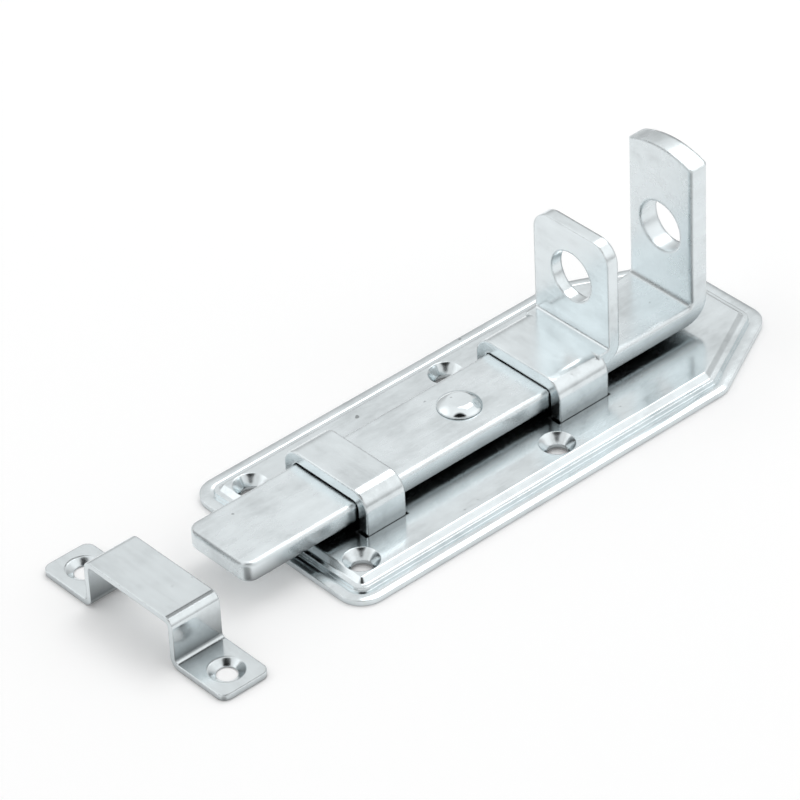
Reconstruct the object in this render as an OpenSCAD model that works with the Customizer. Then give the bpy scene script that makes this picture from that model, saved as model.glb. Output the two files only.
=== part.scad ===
// Padlock slide bolt on a pressed plate, with its keeper.
// The origin is the centre of the four-screw pattern, on the underside of the plate.
// The bolt throws towards +X, into the keeper, and the padlock lugs stand up at the other end.

/* [Plate] */
// Length of the plate
plate_l = 134; // [126:1:170]
// Width of the plate
plate_w = 56; // [54:1:70]
// Thickness of the pressed sheet
plate_t = 1.5; // [1.2:0.1:2]
// Plan radius of the corners of the raised panel
panel_corner_r = 0.3; // [0.2:0.1:2]
// Width of the flat end of the tail
tail_w = 30; // [20:1:40]
// Length over which the tail tapers
tail_l = 25.5; // [18:0.5:32]
// Width of the domed rim around the edge
rim_w = 3.1; // [2.5:0.1:4]
// Height of the dome of the rim
rim_dome = 0.3; // [0.2:0.05:0.4]
// Rise of the small step inside the rim
step_h = 0.8; // [0.5:0.1:1]
// Width of the ledge between the step and the swept wall
ledge_w = 0.8; // [0.6:0.1:1.2]
// Rise of the swept wall up to the raised panel
sweep_h = 1.3; // [1:0.1:1.8]
// Width of the swept wall
sweep_w = 1.6; // [1.2:0.1:1.8]

/* [Screw holes] */
// Spacing of the screws along the plate
screw_x = 57; // [56:0.5:64]
// Spacing of the screws across the plate
screw_y = 36; // [36:0.5:38]
// Distance from the front screws to the front end of the plate
screw_margin = 9.5; // [9:0.5:14]
// Diameter of each screw hole
screw_d = 4.6; // [4:0.1:5]
// Diameter of each countersink
csk_d = 8.2; // [7.6:0.1:8.6]
// Depth of the dimpled countersinks in the plate
dimple_h = 2.2; // [1.8:0.1:2.4]

/* [Bolt] */
// Width of the flat bar
bolt_w = 20; // [16:0.5:22]
// Thickness of the flat bar
bolt_t = 5; // [4:0.25:6]
// Gap between the raised panel and the underside of the bar
bolt_lift = 2; // [1.5:0.1:3]
// Radius along the edges of the bar
bar_edge_r = 0.9; // [0.5:0.1:1.2]
// Plan radius of the corners of the nose
nose_r = 3; // [2:0.25:5]
// Distance that the nose stands out past the plate at rest
nose_out = 15.2; // [8:0.1:24]
// Inside radius of the bend up to the bolt's lug
bolt_bend_r = 1; // [0.8:0.1:2]
// Height of the bolt's lug above the bar, at its two shoulders
bolt_lug_h = 36.2; // [32:0.1:44]
// Rise of the arched top of the bolt's lug
lug_arch = 2.2; // [1:0.1:4]

/* [Travel] */
// Travel from rest to fully thrown
throw = 22.6; // [16:0.1:26]
// Travel from rest to fully drawn back
draw_back = 12.2; // [8:0.1:14]
// Play left between the stop and a guide at each end of the travel
stop_play = 0.2; // [0.1:0.1:0.5]
// Space left between the two lugs when the bolt is thrown
lug_space = 1.6; // [0.8:0.1:3]

/* [Guides] */
// Thickness of the guide straps
guide_t = 3; // [2.5:0.1:3.2]
// Clearance at each side of the bar inside a guide
side_play = 0.4; // [0.3:0.05:0.6]
// Clearance above the bar inside a guide
top_play = 0.3; // [0.2:0.05:0.6]
// Inside radius of the shoulders of a guide
shoulder_r = 1.6; // [1.2:0.1:1.8]
// Distance from the front end of the plate to the front guide
front_guide_in = 15.5; // [15:0.5:20]
// Width of the front guide along the bolt
front_guide_l = 11; // [8:0.5:12]
// Width of the legs of the rear guide along the bolt
rear_guide_l = 14.4; // [10:0.2:18]
// Depth of the peened ends of the legs under the panel
peen_h = 1; // [0.6:0.1:1.2]
// Width of the lug of the rear guide
guide_lug_w = 23.5; // [22:0.5:26]
// Height of the top of the guide's lug above the strap
guide_lug_h = 26.6; // [25:0.2:32]
// Plan radius of the top corners of the guide's lug
guide_lug_r = 5; // [3:0.5:8]
// Inside radius of the bend up to the guide's lug
guide_bend_r = 0.6; // [0.4:0.1:1.5]

/* [Padlock holes] */
// Diameter of the padlock hole in each lug
padlock_d = 12.5; // [10:0.25:13]
// Height of the padlock holes above the top of the bar
padlock_h = 17.2; // [15:0.2:18]

/* [Stop rivet] */
// Diameter of the stop head
stop_d = 10.2; // [8:0.1:11]
// Height of the stop head above the bar
stop_h = 1.8; // [1.3:0.1:2.2]
// Diameter of the shank
shank_d = 5; // [4:0.25:6]
// Diameter of the head under the bar
foot_d = 7.6; // [7:0.1:9]

/* [Keeper] */
// Space between the front end of the plate and the keeper
keeper_gap = 26.2; // [25.5:0.1:30]
// Width of the keeper strap along the bolt
keeper_w = 13; // [12:0.5:16]
// Thickness of the keeper strap
keeper_t = 1.5; // [1.2:0.1:2]
// Clearance at each side of the bar inside the keeper
keeper_side = 3; // [1.5:0.1:4]
// Clearance above the bar inside the keeper
keeper_top = 0.6; // [0.4:0.05:1.5]
// Inside radius of the upper bends
keeper_bend_r = 0.9; // [0.6:0.1:2]
// Inside radius of the bends at the feet
keeper_foot_r = 1; // [0.6:0.1:1.5]
// Length of each foot beyond the leg
keeper_foot_l = 15.5; // [14.5:0.1:20]
// Distance from the leg to the screw hole in each foot
keeper_hole_in = 8.9; // [8:0.1:9.5]
// Plan radius of the corners of the feet
keeper_corner_r = 2.2; // [1.5:0.1:5]

/* [Hidden] */
$fn = 96;
eps = 0.01;
over = 1;
// Plate
plate_front = screw_x / 2 + screw_margin;
plate_back = plate_front - plate_l;
taper_angle = atan2((plate_w - tail_w) / 2, tail_l);
step_run = 0.2;
sweep_steps = 4;
dome_steps = 4;
corner_step = 10;
raise_w = step_run + ledge_w + sweep_w;
corner_r = rim_w + raise_w + panel_corner_r;
rim_edge_z = plate_t - rim_dome / 2;
panel_z = plate_t + step_h + sweep_h;
panel_under = panel_z - plate_t;
dimple_wall = 0.9;
dimple_land = 0.9;
// Bolt
bar_z = panel_z + bolt_lift;
bar_top = bar_z + bolt_t;
nose_x = plate_front + nose_out;
// Guides
guide_in = bolt_w / 2 + side_play;
guide_out = guide_in + guide_t;
strap_under = bar_top + top_play;
strap_top = strap_under + guide_t;
slot_play = 0.1;
slot_end = 0.6;
peen_out = 0.7;
front_guide_x = plate_front - front_guide_in - front_guide_l;
stop_x = front_guide_x - throw - stop_play - stop_d / 2;
rear_guide_front = stop_x - stop_d / 2 - draw_back - stop_play;
rear_guide_x = rear_guide_front - rear_guide_l;
guide_neck = 1.5;
guide_lug_x = rear_guide_x - guide_bend_r - guide_neck;
// Bolt lug, placed so that the two lugs nearly meet when the bolt is thrown
bolt_lug_x = guide_lug_x - guide_t - throw - lug_space;
bend_x = bolt_lug_x + bolt_bend_r;
lug_shoulder_z = bar_top + bolt_lug_h;
arch_r = (pow(bolt_w / 2, 2) + pow(lug_arch, 2)) / (2 * lug_arch);
padlock_z = bar_top + padlock_h;
// Stop: its straight side reaches past the play above the bar, so that it meets the guides
stop_side = top_play + 0.1;
stop_rise = stop_h - stop_side;
stop_flat_d = 0.5 * stop_d;
dome_drop = ((pow(stop_d, 2) - pow(stop_flat_d, 2)) / 4 - pow(stop_rise, 2)) / (2 * stop_rise);
foot_gap = 0.3;
// Keeper
keeper_x = plate_front + keeper_gap;
keeper_in = bolt_w / 2 + keeper_side;
keeper_out = keeper_in + keeper_t;
keeper_z = bar_top + keeper_top + keeper_t;
keeper_half = keeper_out + keeper_foot_l;
keeper_hole_y = keeper_out + keeper_hole_in;
csk_land = 0.3;

// Stands a flat outline up: its x runs along Y, its y along Z, and its depth along X
module along_x(length) {
    rotate([90, 0, 90]) linear_extrude(length) children();
}

// Stands a flat outline up: its x runs along X, its y along Z, centred on Y
module across_y(width) {
    rotate([90, 0, 0]) linear_extrude(width, center = true) children();
}

// Rectangle of the given size about its middle, with rounded corners
module soft_rect(size, r) {
    square([size[0], size[1] - 2 * r], center = true);
    square([size[0] - 2 * r, size[1]], center = true);
    for (x = [-1, 1], y = [-1, 1])
        translate([x * (size[0] / 2 - r), y * (size[1] / 2 - r)]) circle(r);
}

// Bar end seen from the side: square at the left, rounded at the right
module soft_end(length, t, r) {
    square([length - r, t]);
    translate([0, r]) square([length, t - 2 * r]);
    for (y = [r, t - r]) translate([length - r, y]) circle(r);
}

// Quarter of a bend in sheet: from +X round to +Y about its own centre
module quarter_bend(r, t) {
    intersection() {
        difference() {
            circle(r + t);
            circle(r);
        }
        square(r + t);
    }
}

// Centres of the plate's rounded corners, anticlockwise from the near front one, and the two
// directions between which each corner turns
shoulder_x = plate_back + tail_l + corner_r * tan(taper_angle / 2);
tail_y = tail_w / 2 - corner_r * tan(45 - taper_angle / 2);
corner_y = plate_w / 2 - corner_r;
corner_centres = [[plate_front - corner_r, -corner_y], [plate_front - corner_r, corner_y],
                  [shoulder_x, corner_y], [plate_back + corner_r, tail_y],
                  [plate_back + corner_r, -tail_y], [shoulder_x, -corner_y]];
corner_turns = [[-90, 0], [0, 90], [90, 90 + taper_angle], [90 + taper_angle, 180],
                [180, 270 - taper_angle], [270 - taper_angle, 270]];

// Points of the plate's outline at height z, drawn in by the given inset
function outline_ring(inset, z) = [
    for (i = [0:5])
        let (c = corner_centres[i], from = corner_turns[i][0], turn = corner_turns[i][1] - from,
             steps = ceil(turn / corner_step))
        for (k = [0:steps])
            let (t = from + turn * k / steps)
            [c.x + (corner_r - inset) * cos(t), c.y + (corner_r - inset) * sin(t), z]];

// Solid with the plate's outline all the way up. The edge profile gives, from the bottom to the top,
// how far each level is drawn in and how high it lies.
module follow_outline(profile) {
    n = len(outline_ring(0, 0));
    last = len(profile) - 1;
    polyhedron(points = [for (p = profile) each outline_ring(p.x, p.y)],
               faces = [[for (j = [0:n - 1]) j], [for (j = [n - 1:-1:0]) last * n + j],
                        for (i = [0:last - 1], j = [0:n - 1])
                            let (next = (j + 1) % n)
                            [i * n + j, (i + 1) * n + j, (i + 1) * n + next, i * n + next]]);
}

// Height of a smooth rise at u, which runs from 0 to 1 across it
function smooth_rise(u) = u * u * (3 - 2 * u);

// Levels of the step, the ledge and the swept wall, going inwards from an inset on a base
function raise_levels(inset, base) = [
    [inset + step_run, base + step_h],
    for (k = [0:sweep_steps]) [inset + step_run + ledge_w + sweep_w * k / sweep_steps,
                               base + step_h + sweep_h * smooth_rise(k / sweep_steps)]];

// Levels of the top of the plate: the edge, the domed rim, then the raised part
plate_levels = [[0, 0], for (k = [0:dome_steps])
    [rim_w * k / dome_steps, rim_edge_z + rim_dome * sin(180 * k / dome_steps)],
    each raise_levels(rim_w, plate_t)];

// Levels of the hollow under the raised part, from a distance over below the plate
hollow_levels = [[rim_w, -over], [rim_w, 0], each raise_levels(rim_w, 0)];

// Places its children at the four screw holes
module at_screws() {
    for (x = [-1, 1], y = [-1, 1]) translate([x * screw_x / 2, y * screw_y / 2, 0]) children();
}

// Cut for one screw: the countersink's cone, widening on past the panel, and the hole through
module screw_cut() {
    spread = (csk_d - screw_d) / dimple_h;
    translate([0, 0, panel_z - dimple_h])
        cylinder(d1 = screw_d, d2 = screw_d + spread * (dimple_h + over), h = dimple_h + over);
    translate([0, 0, -over]) cylinder(d = screw_d, h = panel_z + 2 * over);
}

// Sheet pressed down round one screw hole, seen from below: a cone that reaches up past the sheet
module dimple_cone() {
    spread = (csk_d - screw_d) / dimple_h;
    low = panel_z - dimple_h - dimple_land;
    translate([0, 0, low]) cylinder(d1 = screw_d + 2 * dimple_wall,
        d2 = screw_d + 2 * dimple_wall + spread * (panel_z - low), h = panel_z - low);
}

// Slots for the legs of a guide whose legs start at x and are length long
module leg_slots(x, length) {
    for (side = [-1, 1])
        translate([x - slot_end, side * (guide_in + guide_out) / 2 - guide_t / 2 - slot_play, -over])
            cube([length + 2 * slot_end, guide_t + 2 * slot_play, panel_z + 2 * over]);
}

// Hollow under the raised part, round the four dimples
module hollow() {
    difference() {
        follow_outline(hollow_levels);
        at_screws() dimple_cone();
    }
}

module base_plate() {
    color([0.78, 0.80, 0.82]) difference() {
        follow_outline(plate_levels);
        hollow();
        at_screws() screw_cut();
        leg_slots(front_guide_x, front_guide_l);
        leg_slots(rear_guide_x, rear_guide_l);
    }
}

// Strap over the bar with its two legs, through the plate to their peened ends
module guide_strap(length) {
    for (side = [0, 1]) mirror([0, side, 0]) {
        along_x(length) {
            translate([0, strap_under]) square([guide_in - shoulder_r, guide_t]);
            translate([guide_in - shoulder_r, strap_under - shoulder_r]) quarter_bend(shoulder_r, guide_t);
            translate([guide_in, panel_under - peen_h])
                square([guide_t, strap_under - shoulder_r - panel_under + peen_h]);
        }
        translate([-slot_end - peen_out, guide_in - peen_out, panel_under - peen_h])
            cube([length + 2 * (slot_end + peen_out), guide_t + 2 * peen_out, peen_h]);
    }
}

module front_guide() {
    color([0.80, 0.82, 0.84]) translate([front_guide_x, 0, 0]) guide_strap(front_guide_l);
}

// Outline of the guide's lug seen along the bolt, from the bend up to its rounded corners
module guide_lug_outline(z0, z1) {
    half = guide_lug_w / 2;
    translate([-half, z0]) square([guide_lug_w, z1 - guide_lug_r - z0]);
    translate([guide_lug_r - half, z1 - 2 * guide_lug_r])
        square([guide_lug_w - 2 * guide_lug_r, 2 * guide_lug_r]);
    for (side = [-1, 1])
        translate([side * (half - guide_lug_r), z1 - guide_lug_r]) circle(guide_lug_r);
}

module rear_guide() {
    bend_centre = guide_lug_x + guide_bend_r;
    color([0.80, 0.82, 0.84]) difference() {
        union() {
            translate([rear_guide_x, 0, 0]) guide_strap(rear_guide_l);
            across_y(guide_lug_w) {
                translate([bend_centre, strap_under]) square([rear_guide_x - bend_centre + over, guide_t]);
                translate([bend_centre, strap_top + guide_bend_r]) rotate(180)
                    quarter_bend(guide_bend_r, guide_t);
            }
            translate([guide_lug_x - guide_t, 0, 0]) along_x(guide_t)
                guide_lug_outline(strap_top + guide_bend_r, strap_top + guide_lug_h);
        }
        translate([guide_lug_x - guide_t - over, 0, padlock_z]) rotate([0, 90, 0])
            cylinder(d = padlock_d, h = guide_t + 2 * over);
    }
}

// The rounded nose: a front face between two corners, each turned about its own centre
module bolt_nose() {
    half = bolt_w / 2 - nose_r;
    translate([nose_x - nose_r, 0, bar_z]) {
        across_y(2 * half) soft_end(nose_r, bolt_t, bar_edge_r);
        translate([0, half, 0]) rotate_extrude(angle = 90) soft_end(nose_r, bolt_t, bar_edge_r);
        translate([0, -half, 0]) rotate(-90) rotate_extrude(angle = 90)
            soft_end(nose_r, bolt_t, bar_edge_r);
    }
}

// The lug: the bar turned up, with its top cut to an arch
module bolt_lug() {
    base_z = bar_top + bolt_bend_r;
    top_z = lug_shoulder_z + lug_arch;
    intersection() {
        translate([bolt_lug_x - bolt_t / 2, 0, base_z]) linear_extrude(top_z - base_z)
            soft_rect([bolt_t, bolt_w], bar_edge_r);
        translate([bolt_lug_x - bolt_t - over, 0, top_z - arch_r]) rotate([0, 90, 0])
            cylinder(r = arch_r, h = bolt_t + 2 * over, $fn = 180);
    }
}

module bolt() {
    color([0.82, 0.84, 0.86]) difference() {
        union() {
            translate([bend_x, 0, bar_z + bolt_t / 2]) along_x(nose_x - nose_r - bend_x)
                soft_rect([bolt_w, bolt_t], bar_edge_r);
            bolt_nose();
            translate([bend_x, 0, bar_top + bolt_bend_r]) rotate([90, 0, 0]) rotate(180)
                rotate_extrude(angle = 90) translate([bolt_bend_r + bolt_t / 2, 0])
                    soft_rect([bolt_t, bolt_w], bar_edge_r);
            bolt_lug();
        }
        translate([bolt_lug_x - bolt_t - over, 0, padlock_z]) rotate([0, 90, 0])
            cylinder(d = padlock_d, h = bolt_t + 2 * over);
        translate([stop_x, 0, bar_z - over]) cylinder(d = shank_d, h = bolt_t + 2 * over);
    }
}

// Rivet through the bar: a low domed head whose top is struck flat, the shank and a plain foot
module stop_rivet() {
    foot_h = bolt_lift - foot_gap;
    color([0.84, 0.86, 0.88]) translate([stop_x, 0, 0]) rotate_extrude() {
        translate([0, bar_z - foot_h]) square([foot_d / 2, foot_h]);
        translate([0, bar_z - foot_h / 2]) square([shank_d / 2, foot_h / 2 + bolt_t + stop_side]);
        translate([0, bar_top]) square([stop_d / 2, stop_side]);
        intersection() {
            translate([0, bar_top + stop_side - dome_drop]) circle(norm([stop_d / 2, dome_drop]));
            translate([0, bar_top + stop_side / 2]) square([stop_d / 2, stop_h - stop_side / 2]);
        }
    }
}

// Half of the keeper seen along the bolt: bridge, upper bend, leg, lower bend and foot
module keeper_half_profile() {
    bend_z = keeper_t + keeper_foot_r;
    translate([0, keeper_z - keeper_t]) square([keeper_in - keeper_bend_r, keeper_t]);
    translate([keeper_in - keeper_bend_r, keeper_z - keeper_t - keeper_bend_r])
        quarter_bend(keeper_bend_r, keeper_t);
    translate([keeper_in, bend_z]) square([keeper_t, keeper_z - keeper_t - keeper_bend_r - bend_z]);
    translate([keeper_out + keeper_foot_r, bend_z]) rotate(180) quarter_bend(keeper_foot_r, keeper_t);
    translate([keeper_out + keeper_foot_r, 0]) square([keeper_foot_l - keeper_foot_r, keeper_t]);
}

module keeper() {
    middle = keeper_x + keeper_w / 2;
    color([0.78, 0.80, 0.83]) difference() {
        intersection() {
            for (side = [0, 1]) mirror([0, side, 0])
                translate([keeper_x, 0, 0]) along_x(keeper_w) keeper_half_profile();
            translate([middle, 0, -over]) linear_extrude(keeper_z + 2 * over)
                soft_rect([keeper_w, 2 * keeper_half], keeper_corner_r);
        }
        for (side = [-1, 1]) translate([middle, side * keeper_hole_y, 0]) {
            translate([0, 0, -over]) cylinder(d = screw_d, h = keeper_t + 2 * over);
            translate([0, 0, csk_land])
                cylinder(d1 = screw_d, d2 = csk_d, h = keeper_t - csk_land + eps);
        }
    }
}

base_plate();
front_guide();
rear_guide();
bolt();
stop_rivet();
keeper();
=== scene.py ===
import math

import bpy
from mathutils import Matrix, Vector

MM = 0.001  # a millimetre in metres, which are Blender's units here

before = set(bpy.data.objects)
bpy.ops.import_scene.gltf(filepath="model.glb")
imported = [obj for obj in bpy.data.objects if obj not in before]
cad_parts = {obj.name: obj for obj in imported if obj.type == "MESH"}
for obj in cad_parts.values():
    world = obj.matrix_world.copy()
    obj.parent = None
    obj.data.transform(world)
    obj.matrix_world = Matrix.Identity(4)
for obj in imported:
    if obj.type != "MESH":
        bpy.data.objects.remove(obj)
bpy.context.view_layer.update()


# Camera, at the photograph's viewing angle
CAMERA_AT = Vector((543.37, 641.29, 653.79)) * MM
CAMERA_AIM = Vector((-13.43, -16.34, 5.0)) * MM
CAMERA_ROLL = math.radians(2.876)
CAMERA_LENS = 220.73    # focal length in mm
CAMERA_SENSOR = 36.0    # width in mm
CAMERA_NEAR = 0.05      # nearest and farthest distance that it shows, in metres
CAMERA_FAR = 20.0


def make_camera():
    data = bpy.data.cameras.new("camera")
    data.sensor_width = CAMERA_SENSOR
    data.lens = CAMERA_LENS
    data.clip_start = CAMERA_NEAR
    data.clip_end = CAMERA_FAR
    cam = bpy.data.objects.new("camera", data)
    bpy.context.scene.collection.objects.link(cam)
    forward = (CAMERA_AIM - CAMERA_AT).normalized()
    right = forward.cross(Vector((0, 0, 1))).normalized()
    down = forward.cross(right)
    x = math.cos(CAMERA_ROLL) * right + math.sin(CAMERA_ROLL) * down
    y = -forward.cross(x)
    turn = Matrix((x, y, -forward)).transposed()
    cam.matrix_world = Matrix.Translation(CAMERA_AT) @ turn.to_4x4()
    bpy.context.scene.camera = cam


# Small helpers for node trees
def grey(value):
    return (value, value, value, 1)


def new_material(name):
    mat = bpy.data.materials.new(name)
    mat.use_nodes = True
    tree = mat.node_tree
    return mat, tree, tree.nodes["Principled BSDF"]


def ramp(tree, fac, stops):
    """A colour that follows a number, from stops of position and colour."""
    node = tree.nodes.new("ShaderNodeValToRGB")
    elements = node.color_ramp.elements
    elements[0].position, elements[0].color = stops[0]
    elements[1].position, elements[1].color = stops[-1]
    for position, colour in stops[1:-1]:
        elements.new(position).color = colour
    tree.links.new(fac, node.inputs["Fac"])
    return node.outputs["Color"]


def remap(tree, value, from_low, from_high, to_low, to_high):
    node = tree.nodes.new("ShaderNodeMapRange")
    node.inputs["From Min"].default_value = from_low
    node.inputs["From Max"].default_value = from_high
    node.inputs["To Min"].default_value = to_low
    node.inputs["To Max"].default_value = to_high
    tree.links.new(value, node.inputs["Value"])
    return node.outputs["Result"]


def swing(tree, value, amount, spread=0.2):
    """A noise, most of which lies within spread of 0.5, as a number from -amount to amount."""
    return remap(tree, value, 0.5 - spread, 0.5 + spread, -amount, amount)


def math_node(tree, operation, a, b):
    """One step of arithmetic on two sockets or numbers."""
    node = tree.nodes.new("ShaderNodeMath")
    node.operation = operation
    for socket, value in zip(node.inputs, (a, b)):
        if hasattr(value, "links"):
            tree.links.new(value, socket)
        else:
            socket.default_value = value
    return node.outputs[0]


def near(tree, vector, direction, inner, outer):
    """1 where a vector lies close to a direction, 0 away from it, between two angles in degrees."""
    dot = tree.nodes.new("ShaderNodeVectorMath")
    dot.operation = "DOT_PRODUCT"
    dot.inputs[1].default_value = Vector(direction).normalized()
    tree.links.new(vector, dot.inputs[0])
    far_cosine = math.cos(math.radians(outer))
    near_cosine = math.cos(math.radians(inner))
    return remap(tree, dot.outputs["Value"], far_cosine, near_cosine, 0.0, 1.0)


def parts_of(tree, vector):
    """A vector's X, Y and Z."""
    node = tree.nodes.new("ShaderNodeSeparateXYZ")
    tree.links.new(vector, node.inputs["Vector"])
    return node.outputs


def mixed(tree, share, a, b):
    """Colour a where share is 0 and colour b where it is 1. Each is a socket or a fixed colour."""
    node = tree.nodes.new("ShaderNodeMix")
    node.data_type = "RGBA"
    tree.links.new(share, node.inputs["Factor"])
    for name, colour in (("A", a), ("B", b)):
        if hasattr(colour, "links"):
            tree.links.new(colour, node.inputs[name])
        else:
            node.inputs[name].default_value = colour
    return node.outputs["Result"]


def multiply(tree, colour, tone):
    node = tree.nodes.new("ShaderNodeMix")
    node.data_type = "RGBA"
    node.blend_type = "MULTIPLY"
    node.inputs["Factor"].default_value = 1.0
    tree.links.new(colour, node.inputs["A"])
    tree.links.new(tone, node.inputs["B"])
    return node.outputs["Result"]


# Zinc plating
ZINC_RED = 0.935        # the cool tint of zinc: a little less red, a little more blue
ZINC_BLUE = 1.022

# Each noise's scale along the rolled direction and across it, per metre, its detail and its roughness
NOISES = {
    "streaks": (45.0, 900.0, 2.0, 0.55),
    "smudges": (120.0, 260.0, 4.0, 0.65),
    "clouds": (70.0, 70.0, 4.0, 0.6),
    "grain": (2600.0, 2600.0, 2.0, 0.55),
    "pits": (420.0, 420.0, 1.0, 0.4),
}

# The noises' sum, which lies about 0.5, and the share of the shade that shows there
TONES = ((0.1, 0.45), (0.38, 0.86), (0.5, 1.0), (0.62, 1.07))
PIT_EDGE = 0.79         # the pits' noise at a pit's edge and at its bottom
PIT_BOTTOM = 0.84
PIT_DARK = 0.35         # how far a pit's bottom moves the tone down

# Painted shade in narrow places, found by ambient occlusion
NOOK_SAMPLES = 8
NOOK_SHADE_TONE = 0.05        # tone of the painted shade where a narrow place is most closed in, and half way to where it is gone
NOOK_HALF_SHADE_TONE = 0.55

# Painted shade low on the sides of the legs and the bar
HEIGHTS_TOP = 14.0      # mm, above every height that has a tone of its own
SIDEWAYS_FROM = 0.4     # the normal's Y at which a face begins to count as a side, and counts fully
SIDEWAYS_FULL = 0.8

GLOSS_SWING = 0.05      # how far clouds and smudges move the roughness
SMUDGE_SPREAD = 0.3     # how far from 0.5 the smudges' noise still counts there
EDGE_SAMPLES = 6

BUMP_STRENGTH = 0.02
BUMP_HEIGHT = 0.1 * MM
BUMP_SHARES = (("grain", 0.15), ("streaks", 0.3), ("smudges", 1.5))

ALONG_X = (1, 0, 0)     # the direction in which a piece's steel was rolled
ALONG_Y = (0, 1, 0)


def steel(value):
    return (value * ZINC_RED, value, min(1, value * ZINC_BLUE), 1)


def noise(tree, coord, name, rolled):
    """One of the plating's noises, drawn out along the rolled direction."""
    along, across, detail, roughness = NOISES[name]
    stretch = tree.nodes.new("ShaderNodeMapping")
    stretch.inputs["Scale"].default_value = tuple(along if axis else across for axis in rolled)
    tree.links.new(coord, stretch.inputs["Vector"])
    node = tree.nodes.new("ShaderNodeTexNoise")
    node.inputs["Scale"].default_value = 1.0
    node.inputs["Detail"].default_value = detail
    node.inputs["Roughness"].default_value = roughness
    tree.links.new(stretch.outputs["Vector"], node.inputs["Vector"])
    return node.outputs["Fac"]


def plating(tree, noises, shade, mottle, streak):
    """The plating's colour: clouds, smudges and streaks about its shade, with small dark pits."""
    tone = swing(tree, noises["clouds"], mottle)
    tone = math_node(tree, "ADD", tone, swing(tree, noises["streaks"], streak))
    tone = math_node(tree, "ADD", tone, swing(tree, noises["smudges"], mottle))
    tone = math_node(tree, "ADD", tone, 0.5)
    pits = remap(tree, noises["pits"], PIT_EDGE, PIT_BOTTOM, 0.0, PIT_DARK)
    tone = math_node(tree, "SUBTRACT", tone, pits)
    return ramp(tree, tone, [(at, steel(min(1, shade * share))) for at, share in TONES])


def paint_shade_in_nooks(tree, colour, reach, closed, clear):
    """Painted shade in narrow places: the colour darkens where ambient occlusion finds them closed in."""
    space = tree.nodes.new("ShaderNodeAmbientOcclusion")
    space.samples = NOOK_SAMPLES
    space.inputs["Distance"].default_value = reach * MM
    half = 0.5 * (closed + clear)
    stops = [(closed, grey(NOOK_SHADE_TONE)), (half, grey(NOOK_HALF_SHADE_TONE)), (clear, grey(1))]
    return multiply(tree, colour, ramp(tree, space.outputs["AO"], stops))


def paint_shade_low_on_sides(tree, colour, coord, low_shade):
    """Painted shade low down on the legs and the bar's sides, all of which face along Y: darker towards the
    bottom.
    """
    normal = tree.nodes.new("ShaderNodeNewGeometry").outputs["Normal"]
    facing = math_node(tree, "ABSOLUTE", parts_of(tree, normal)["Y"], 0.0)
    sideways = remap(tree, facing, SIDEWAYS_FROM, SIDEWAYS_FULL, 0.0, 1.0)
    height = remap(tree, parts_of(tree, coord)["Z"], 0.0, HEIGHTS_TOP * MM, 0.0, 1.0)
    low_shade_tones = ramp(tree, height, [(z / HEIGHTS_TOP, grey(tone)) for z, tone in low_shade])
    return multiply(tree, colour, mixed(tree, sideways, grey(1), low_shade_tones))


def zinc(name, shade, rough, round_mm, nook_shade, low_shade=(), shade_lines=(), rolled=ALONG_X, mottle=0.08, streak=0.02):
    """Bright zinc plating: cool grey metal with soft clouds, faint rolled streaks, small pits and grain, and
    painted shade in narrow places, low on the sides and along edges.

    shade is its tone, rough its roughness, and round_mm how far from an edge its normals begin to turn.
    nook_shade: the reach in mm of painted shade in narrow places, and the openness where it is full and
    gone.
    low_shade gives the painted shade on the legs and the bar's sides at heights in mm, darker low down.
    shade_lines are fine dark lines of painted shade along edges and bends: a normal, two angles about it,
    and a tone.
    mottle and streak are how far its clouds and its streaks move the tone.
    """
    mat, tree, shader = new_material(name)
    coord = tree.nodes.new("ShaderNodeTexCoord").outputs["Object"]
    noises = {kind: noise(tree, coord, kind, rolled) for kind in NOISES}
    edges = tree.nodes.new("ShaderNodeBevel")
    edges.samples = EDGE_SAMPLES
    edges.inputs["Radius"].default_value = round_mm * MM

    colour = plating(tree, noises, shade, mottle, streak)
    # painted shade in narrow places
    colour = paint_shade_in_nooks(tree, colour, *nook_shade)
    # painted shade low on the sides
    if low_shade:
        colour = paint_shade_low_on_sides(tree, colour, coord, low_shade)
    # painted shade: fine dark lines where the rounded normal turns toward the given directions
    for normal, inner, outer, tone in shade_lines:
        shade_line = near(tree, edges.outputs["Normal"], normal, inner, outer)
        colour = multiply(tree, colour, remap(tree, shade_line, 0.0, 1.0, 1.0, tone))
    tree.links.new(colour, shader.inputs["Base Color"])
    shader.inputs["Metallic"].default_value = 1.0

    gloss = math_node(tree, "ADD", swing(tree, noises["clouds"], GLOSS_SWING), rough)
    gloss = math_node(tree, "ADD", gloss, swing(tree, noises["smudges"], GLOSS_SWING, SMUDGE_SPREAD))
    tree.links.new(gloss, shader.inputs["Roughness"])

    heights = [math_node(tree, "MULTIPLY", noises[kind], share) for kind, share in BUMP_SHARES]
    height = math_node(tree, "ADD", heights[0], heights[1])
    height = math_node(tree, "ADD", height, heights[2])
    bump = tree.nodes.new("ShaderNodeBump")
    bump.inputs["Strength"].default_value = BUMP_STRENGTH
    bump.inputs["Distance"].default_value = BUMP_HEIGHT
    tree.links.new(height, bump.inputs["Height"])
    tree.links.new(edges.outputs["Normal"], bump.inputs["Normal"])
    tree.links.new(bump.outputs["Normal"], shader.inputs["Normal"])
    return mat


# Softened edges
WELD_DISTANCE = 0.002 * MM
FLAT_ANGLE = math.radians(0.5)      # faces that meet at less are joined into one
EDGE_ANGLE = math.radians(32)       # edges that are sharper are softened
EDGE_SEGMENTS = 3
LARGEST_FACE = 100                  # the weight at which only the largest face round a point counts
SAME_AREA = 0.01                    # how close two areas are to count as the same


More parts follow.
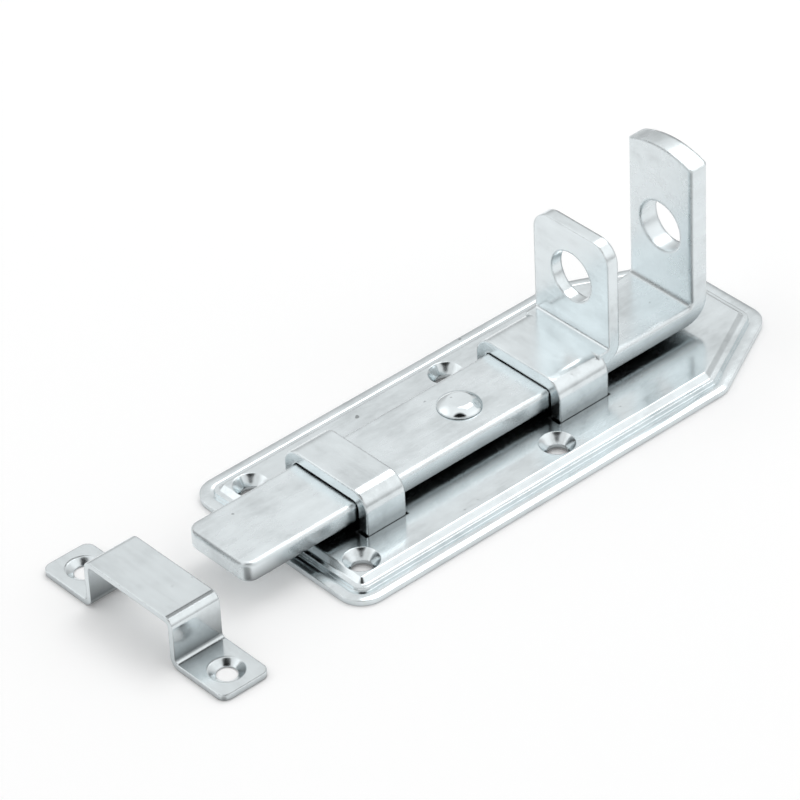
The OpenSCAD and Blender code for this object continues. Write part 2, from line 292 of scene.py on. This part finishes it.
def dress(node, mat, bevel):
    """A CAD node keeps its shape: its edges are softened by bevel mm and it gets its finish."""
    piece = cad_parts[node]
    piece.data.materials.clear()
    piece.data.materials.append(mat)
    for face in piece.data.polygons:
        face.use_smooth = True
    weld = piece.modifiers.new("weld", "WELD")
    weld.merge_threshold = WELD_DISTANCE
    flat = piece.modifiers.new("flat", "DECIMATE")
    flat.decimate_type = "DISSOLVE"
    flat.angle_limit = FLAT_ANGLE
    edge = piece.modifiers.new("edge", "BEVEL")
    edge.width = bevel * MM
    edge.segments = EDGE_SEGMENTS
    edge.limit_method = "ANGLE"
    edge.angle_limit = EDGE_ANGLE
    edge.use_clamp_overlap = True
    # flat faces shade flat: each normal leans to the largest face round its point
    even = piece.modifiers.new("even", "WEIGHTED_NORMAL")
    even.mode = "FACE_AREA"
    even.weight = LARGEST_FACE
    even.thresh = SAME_AREA


# Normals of the fine dark lines of painted shade, each followed in a material by two angles in degrees and a
# tone
CORNER = (1, 1, 0)      # upright edges at the camera's side
FRONT_EDGE = (1, 0, 1)  # upper edges and inner bends that face the throw
BEND = (0, 0.25, 1)     # where a level face begins to turn down

# The finishes also paint shade: in narrow places, low on the sides of the legs and the bar, and in fine dark
# lines along some edges and bends.
plate_zinc = zinc("plate_zinc", shade=0.78, rough=0.17, round_mm=0.3, nook_shade=(7.0, 0.05, 0.4))
guide_zinc = zinc("guide_zinc", shade=0.8, rough=0.2, round_mm=0.7, nook_shade=(5.0, 0.1, 0.6),
                  low_shade=((5.2, 0.5), (7.6, 0.8), (10.0, 1)),
                  shade_lines=((CORNER, 8, 18, 0.6),),
                  rolled=ALONG_Y)
bolt_zinc = zinc("bolt_zinc", shade=0.78, rough=0.26, round_mm=1.1, nook_shade=(4.0, 0.1, 0.5),
                 low_shade=((6.0, 0.3), (8.0, 0.7), (9.5, 1)),
                 shade_lines=((CORNER, 8, 18, 0.45), (FRONT_EDGE, 8, 18, 0.35)))
rivet_zinc = zinc("rivet_zinc", shade=0.88, rough=0.08, round_mm=0.7, nook_shade=(2.0, 0.05, 0.4),
                  mottle=0.03, streak=0.0)
keeper_zinc = zinc("keeper_zinc", shade=0.78, rough=0.19, round_mm=0.5, nook_shade=(9.0, 0.15, 0.7),
                   low_shade=((1.6, 1), (2.4, 0.35), (7.5, 0.7), (11.0, 1)),
                   shade_lines=((BEND, 8, 13, 0.15), (CORNER, 8, 18, 0.6)),
                   rolled=ALONG_Y, mottle=0.05)

dress("base_plate", plate_zinc, bevel=0.15)
dress("front_guide", guide_zinc, bevel=0.45)
dress("rear_guide", guide_zinc, bevel=0.45)
dress("bolt", bolt_zinc, bevel=0.45)
dress("stop_rivet", rivet_zinc, bevel=0.6)
dress("keeper", keeper_zinc, bevel=0.25)


# Floor, light and world
FLOOR_REACH = 6.0               # metres from the middle to each side
FLOOR_DROP = 0.05 * MM          # the floor lies this far under the plate and the keeper
FLOOR_GLOW = 0.12               # it glows a little, as a lit table does, so that it shows white

KEY_AT = Vector((-0.9, -0.3, 1.6))
KEY_AIM = Vector((-0.02, 0, 0))
KEY_SIDE = 0.9                  # metres
KEY_POWER = 6.0                 # watts

SKY = ((0.0, 0.5), (0.25, 0.62), (0.5, 0.84), (1.0, 1.0))   # brightness from the horizon to overhead

# Panels and gaps of a light tent: a direction, the angles in degrees about it, and a brightness
PATCHES = (
    ((-0.53, 0.6, 0.6), 12, 34, 1.15),      # lit panel beyond the tail, at the near side
    ((0.54, -0.6, 0.6), 12, 30, 1.3),       # lit panel beyond the keeper, at the far side
    ((-0.52, -0.08, 0.85), 4, 9, 0.5),      # grey seam high beyond the tail
    ((0.8, -0.6, 0.02), 8, 14, 0.03),       # dark gap low down beyond the keeper
    ((-0.78, -0.61, 0.1), 4, 9, 0.05),      # dark gap low down beyond the tail
    ((0.32, 0.38, 0.87), 19, 25, 0.01),     # dark hood above the camera
)


def make_floor():
    mesh = bpy.data.meshes.new("floor")
    corners = ((-1, -1), (1, -1), (1, 1), (-1, 1))
    mesh.from_pydata([(x * FLOOR_REACH, y * FLOOR_REACH, 0) for x, y in corners], [], [(0, 1, 2, 3)])
    floor = bpy.data.objects.new("floor", mesh)
    bpy.context.scene.collection.objects.link(floor)
    floor.location.z = -FLOOR_DROP
    mat, _, shader = new_material("floor")
    shader.inputs["Base Color"].default_value = grey(0.92)
    shader.inputs["Roughness"].default_value = 0.9
    shader.inputs["Specular IOR Level"].default_value = 0.1
    shader.inputs["Emission Color"].default_value = grey(1)
    shader.inputs["Emission Strength"].default_value = FLOOR_GLOW
    mesh.materials.append(mat)


def make_key_light():
    data = bpy.data.lights.new("key", "AREA")
    data.shape = "RECTANGLE"
    data.size = KEY_SIDE
    data.size_y = KEY_SIDE
    data.energy = KEY_POWER
    lamp = bpy.data.objects.new("key", data)
    bpy.context.scene.collection.objects.link(lamp)
    lamp.location = KEY_AT
    lamp.rotation_mode = "QUATERNION"
    lamp.rotation_quaternion = (KEY_AIM - KEY_AT).to_track_quat("-Z", "Y")


def make_world():
    world = bpy.data.worlds.new("studio")
    world.use_nodes = True
    bpy.context.scene.world = world
    tree = world.node_tree
    coord = tree.nodes.new("ShaderNodeTexCoord").outputs["Generated"]
    sky = ramp(tree, parts_of(tree, coord)["Z"], [(height, grey(tone)) for height, tone in SKY])
    for direction, inner, outer, tone in PATCHES:
        sky = mixed(tree, near(tree, coord, direction, inner, outer), sky, grey(tone))
    tree.links.new(sky, tree.nodes["Background"].inputs["Color"])


make_camera()
make_floor()
make_world()
make_key_light()
bpy.context.scene.view_settings.view_transform = "Standard"
